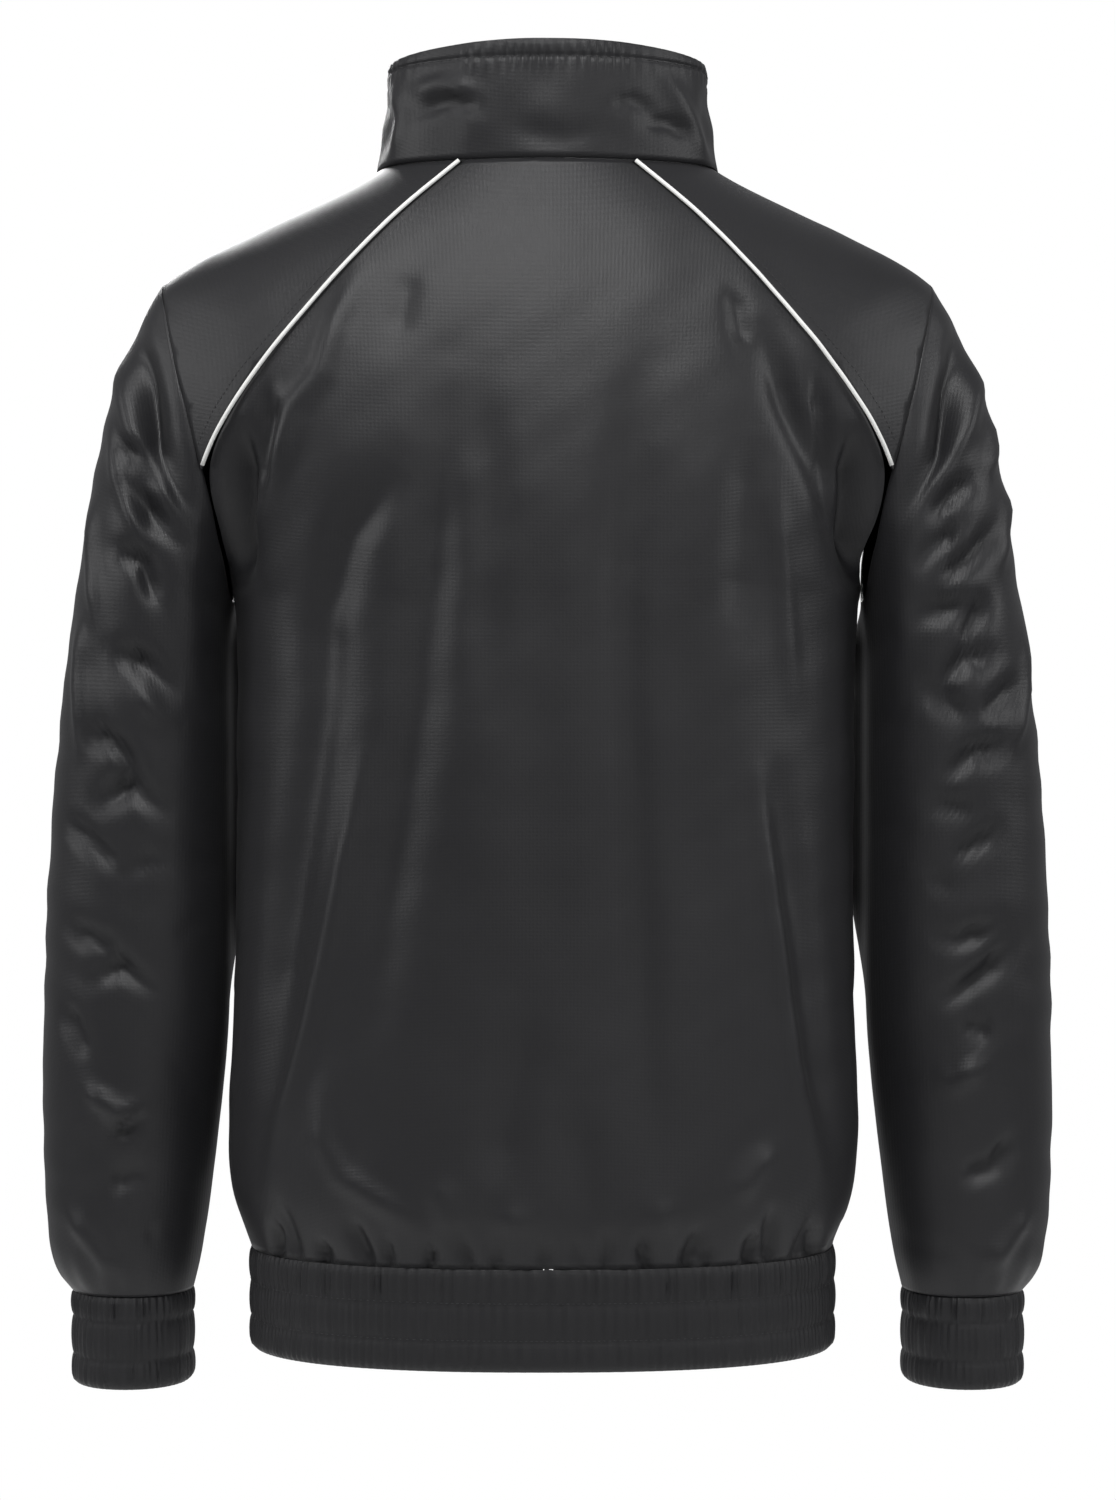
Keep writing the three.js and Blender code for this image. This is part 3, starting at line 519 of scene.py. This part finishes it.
# %% Band builder
def band(name, node, plan, top, bottom, count, rows_at, seed, closed):
    """plan(t) gives the place and outward way round the band, for t from 0 to 1."""
    draw = random.Random(seed)
    across, up = count * 5, 26
    bpy.ops.object.select_all(action="DESELECT")
    bpy.ops.mesh.primitive_grid_add(x_subdivisions=across, y_subdivisions=up, size=1)
    piece = bpy.context.active_object
    piece.name = name
    grid = points_of(piece)
    t, level = grid[:, 0] + 0.5, 0.5 - grid[:, 1]
    place, way = plan(t)
    puff = np.zeros(len(t))
    edges = [0, *rows_at, 1]
    for channel, (low, high) in enumerate(zip(edges[:-1], edges[1:])):
        inside = (level >= low) & (level <= high)
        part = (level - low) / (high - low)
        swell = np.clip(np.sin(np.pi * np.clip(part, 0, 1)), 0, 1) ** 0.5
        drift = sum(draw.uniform(0.2, 0.9) * np.sin(2 * np.pi * k * t + draw.uniform(0, 6.3)) for k in (5, 13, 29))
        fine = np.sin(2 * np.pi * count * t + drift * 1.5)
        uneven = 0.7 + 0.3 * np.sin(2 * np.pi * round(count / 3.7) * t + draw.uniform(0, 6.3))
        deep = 1.35 if channel == 0 else 0.9
        puff += inside * (swell * 1.3 + fine * uneven * deep * (0.35 + 0.65 * swell) * 0.62)
    hem = np.clip((1 - level) / 0.06, 0, 1) ** 0.5
    points = np.empty((len(t), 3))
    points[:, :2] = place + way * ((puff - 0.9 - 1.6 * (1 - hem)) * MM)[:, None]
    points[:, 2] = top + (bottom - top) * level
    set_points(piece, points)
    only(piece)
    bpy.ops.object.mode_set(mode="EDIT")
    bpy.ops.mesh.select_all(action="SELECT")
    if closed:
        bpy.ops.mesh.remove_doubles(threshold=2e-5)
    bpy.ops.mesh.normals_make_consistent(inside=False)
    bpy.ops.object.mode_set(mode="OBJECT")
    middle = max(piece.data.polygons, key=lambda face: face.center.y)
    if middle.normal.y < 0:
        piece.data.flip_normals()
    wall = piece.modifiers.new("wall", "SOLIDIFY")
    wall.thickness = 1.6 * MM
    wall.offset = -1
    bpy.ops.object.modifier_apply(modifier="wall")
    bpy.ops.object.shade_smooth_by_angle(angle=math.radians(60))
    return finish_piece(piece, RIB, node)


def ring_plan(middle, half_x, back, front, power, start, sweep):
    """Points evenly spaced by turn round a rounded plan, with their outward ways."""
    def plan(t):
        turn = start + sweep * t
        c, s = np.cos(turn), np.sin(turn)
        depth = np.where(s > 0, back, front)
        local = np.stack([half_x * np.sign(c) * np.abs(c) ** (2 / power), depth * np.sign(s) * np.abs(s) ** (2 / power)], 1)
        way = np.stack([np.sign(c) * np.abs(c) ** (2 - 2 / power) / half_x, np.sign(s) * np.abs(s) ** (2 - 2 / power) / depth], 1)
        way /= np.linalg.norm(way, axis=1)[:, None]
        return local + np.array(middle), way
    return plan


# %% Waistband and cuffs
low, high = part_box("waistband")
half = (high.x - low.x) / 2
lean = (high.x + low.x) / 2
edge_turn = math.acos(((0.0065 - 0.003) / half) ** 1.2)
other_turn = math.acos(((0.0065 + 0.003) / half) ** 1.2)
plan = ring_plan((lean, 0), half, high.y, -low.y, 2.4, -edge_turn, math.pi + edge_turn + other_turn)
cloths["waistband_rib"] = band(
    "waistband_rib", "waistband", plan, high.z - 0.0002, low.z, 190, (0.33, 0.69), 2, False)
for word in ("left", "right"):
    low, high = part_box(f"cuff_{word}")
    middle = ((high.x + low.x) / 2, (high.y + low.y) / 2)
    half_y = (high.y - low.y) / 2
    plan = ring_plan(middle, (high.x - low.x) / 2 - 0.0006, half_y, half_y, 2.1, 0, 2 * math.pi)
    name = f"cuff_{word}_rib"
    cloths[name] = band(name, f"cuff_{word}", plan, high.z - 0.0002, low.z, 56, (0.27, 0.69), len(word), True)
print("bands", [len(cloths[n].data.polygons) for n in ("waistband_rib", "cuff_left_rib", "cuff_right_rib")])

# %% [markdown]
# ## Stitches
# Topstitching is what makes a seam read as sewn. One stitch is a slim spindle, copied along each row
# and laid onto the finished cloth, so that it follows every crease.

# %% Stitch rows
STITCH = {"length": 2.3 * MM, "radius": 0.27 * MM, "pitch": 3.1 * MM}


def surface_of(*names):
    verts, faces = [], []
    for name in names:
        mesh = cloths[name].data
        shift = len(verts)
        verts += [tuple(v.co) for v in mesh.vertices]
        faces += [tuple(i + shift for i in face.vertices) for face in mesh.polygons]
    return BVHTree.FromPolygons(verts, faces)


def stitch_row(name, tree, path, middle):
    """path is a list of rough places. middle(place) is the point inside that the row is looked at from."""
    path = [Vector(p) for p in path]
    spots = []
    for start, end in zip(path[:-1], path[1:]):
        count = max(1, round((end - start).length / STITCH["pitch"]))
        spots += [(start.lerp(end, k / count), (end - start).normalized()) for k in range(count)]
    mesh = bmesh.new()
    for spot, way in spots:
        inside = middle(spot)
        out = (spot - inside).normalized()
        hit, normal, _, _ = tree.ray_cast(spot + out * 0.05, -out, 0.1)
        if hit is None:
            continue
        if normal.dot(out) < 0:
            normal = -normal
        along = (way - normal * way.dot(normal)).normalized()
        turn = Matrix((along, normal.cross(along), normal)).transposed().to_4x4()
        place = Matrix.Translation(hit + normal * 0.12 * MM) @ turn
        tips = [mesh.verts.new(place @ Vector((s * STITCH["length"] / 2, 0, -0.1 * MM))) for s in (-1, 1)]
        ring = []
        for k in range(6):
            angle = k * math.pi / 3
            offset = Vector((0, math.cos(angle), math.sin(angle))) * STITCH["radius"]
            ring.append(mesh.verts.new(place @ offset))
        for k in range(6):
            mesh.faces.new((ring[k], ring[(k + 1) % 6], tips[1]))
            mesh.faces.new((ring[(k + 1) % 6], ring[k], tips[0]))
    bmesh.ops.recalc_face_normals(mesh, faces=mesh.faces)
    data = bpy.data.meshes.new(name)
    mesh.to_mesh(data)
    mesh.free()
    piece = bpy.data.objects.new(name, data)
    scene.collection.objects.link(piece)
    return finish_piece(piece, THREAD, None)


def level_middle(spot):
    return Vector((0, 0, spot.z))


body_tree = surface_of("back_cloth", "yoke_left_cloth", "yoke_right_cloth", "front_left_cloth", "front_right_cloth")
RAGLAN_ROW = [(58, -2), (92, -25), (118, -52), (138, -74), (155, -94), (172, -114), (187, -136), (197, -156)]
for side, word in ((1, "left"), (-1, "right")):
    path = [(side * x * MM, 0.09, z * MM) for x, z in RAGLAN_ROW]
    stitch_row(f"stitches_raglan_{word}", body_tree, path, lambda spot: Vector((spot.x, 0, spot.z)))
collar_tree = surface_of("collar_cloth")
turns = [math.radians(-84 + 348 * k / 90) for k in range(91)]
path = [(0.094 * math.cos(a), 0.07 * math.sin(a), (66 if math.sin(a) > 0 else 66 + 24 * math.sin(a)) * MM) for a in turns]
stitch_row("stitches_collar", collar_tree, [p for p in path if abs(p[0]) > 0.012 or p[1] > 0], level_middle)
band_tree = surface_of("waistband_rib")
low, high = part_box("waistband")
for row, level in enumerate((0.33, 0.69)):
    z = high.z + (low.z - high.z) * level
    path = [(0.165 * math.cos(a), 0.11 * math.sin(a), z) for a in turns]
    path = [p for p in path if abs(p[0]) > 0.012 or p[1] > 0]
    stitch_row(f"stitches_waistband_{row + 1}", band_tree, path, level_middle)
print("stitch rows made")

# %% [markdown]
# ## Zip
# The teeth are one small tooth, copied up both edges of the tape and offset by half a pitch, so that
# the two rows mesh. The slider and its pull are hard pieces that keep their own shape.

# %% Tapes and teeth
for side in ("left", "right"):
    name = f"zip_tape_{side}_cloth"
    cloths[name] = refined_copy(f"zip_tape_{side}", name, 1)
    finish_piece(cloths[name], TAPE, f"zip_tape_{side}")

chain_tree = BVHTree.FromObject(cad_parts["zip_chain"], bpy.context.evaluated_depsgraph_get())
low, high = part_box("zip_chain")
TOOTH = {"pitch": 2.2 * MM, "height": 1.5 * MM, "width": 3.0 * MM, "depth": 2.3 * MM}
mesh = bmesh.new()
z = low.z + TOOTH["height"]
row = 0
while z < high.z - TOOTH["height"]:
    hit, normal, _, _ = chain_tree.ray_cast(Vector((0, -1, z)), Vector((0, 1, 0)), 2)
    if hit is not None:
        side = 1 if row % 2 else -1
        size = Vector((TOOTH["width"], TOOTH["depth"], TOOTH["height"]))
        place = Matrix.Translation((side * 0.9 * MM, hit.y + 1.3 * MM, z)) @ Matrix.Diagonal((*size, 1))
        made = bmesh.ops.create_cube(mesh, size=1, matrix=place)
        edges = {edge for vert in made["verts"] for edge in vert.link_edges}
        bmesh.ops.bevel(mesh, geom=list(edges), offset=0.25 * MM, segments=1, affect="EDGES")
    z += TOOTH["pitch"] / 2
    row += 1
data = bpy.data.meshes.new("zip_teeth")
mesh.to_mesh(data)
mesh.free()
teeth = bpy.data.objects.new("zip_teeth", data)
scene.collection.objects.link(teeth)
finish_piece(teeth, METAL, "zip_chain")
for node in ("zip_slider", "zip_pull", "zip_box"):
    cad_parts[node].data.materials.clear()
    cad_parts[node].data.materials.append(METAL)
print("teeth", row)


# %% [markdown]
# ## Floor and background
# A plain pale floor takes the garment's soft shadow. The background is white to camera rays and to
# transmission rays, and a plain grey light otherwise.

# %% Floor and world
bpy.ops.object.select_all(action="DESELECT")
bpy.ops.mesh.primitive_plane_add(size=2.8, location=(0, 0, -1.15))
floor = bpy.context.active_object
floor.name = "floor"
pale = Finish("pale_floor", Roughness=0.9)
pale.feed("Base Color", pale.mix(pale.noise(2.0), (0.80, 0.80, 0.80, 1), (0.84, 0.84, 0.84, 1)))
floor.data.materials.append(pale.material)

world = bpy.data.worlds.new("studio")
scene.world = world
world.use_nodes = True
nodes, links = world.node_tree.nodes, world.node_tree.links
nodes.clear()
rays = nodes.new("ShaderNodeLightPath")
seen = nodes.new("ShaderNodeMath")
seen.operation = "MAXIMUM"
links.new(rays.outputs["Is Camera Ray"], seen.inputs[0])
links.new(rays.outputs["Is Transmission Ray"], seen.inputs[1])
white = nodes.new("ShaderNodeBackground")
white.inputs["Color"].default_value = (1, 1, 1, 1)
soft = nodes.new("ShaderNodeBackground")
soft.inputs["Color"].default_value = (0.22, 0.22, 0.225, 1)
blend = nodes.new("ShaderNodeMixShader")
output = nodes.new("ShaderNodeOutputWorld")
links.new(seen.outputs[0], blend.inputs[0])
links.new(soft.outputs[0], blend.inputs[1])
links.new(white.outputs[0], blend.inputs[2])
links.new(blend.outputs[0], output.inputs["Surface"])

# %% The end
bpy.context.view_layer.update()
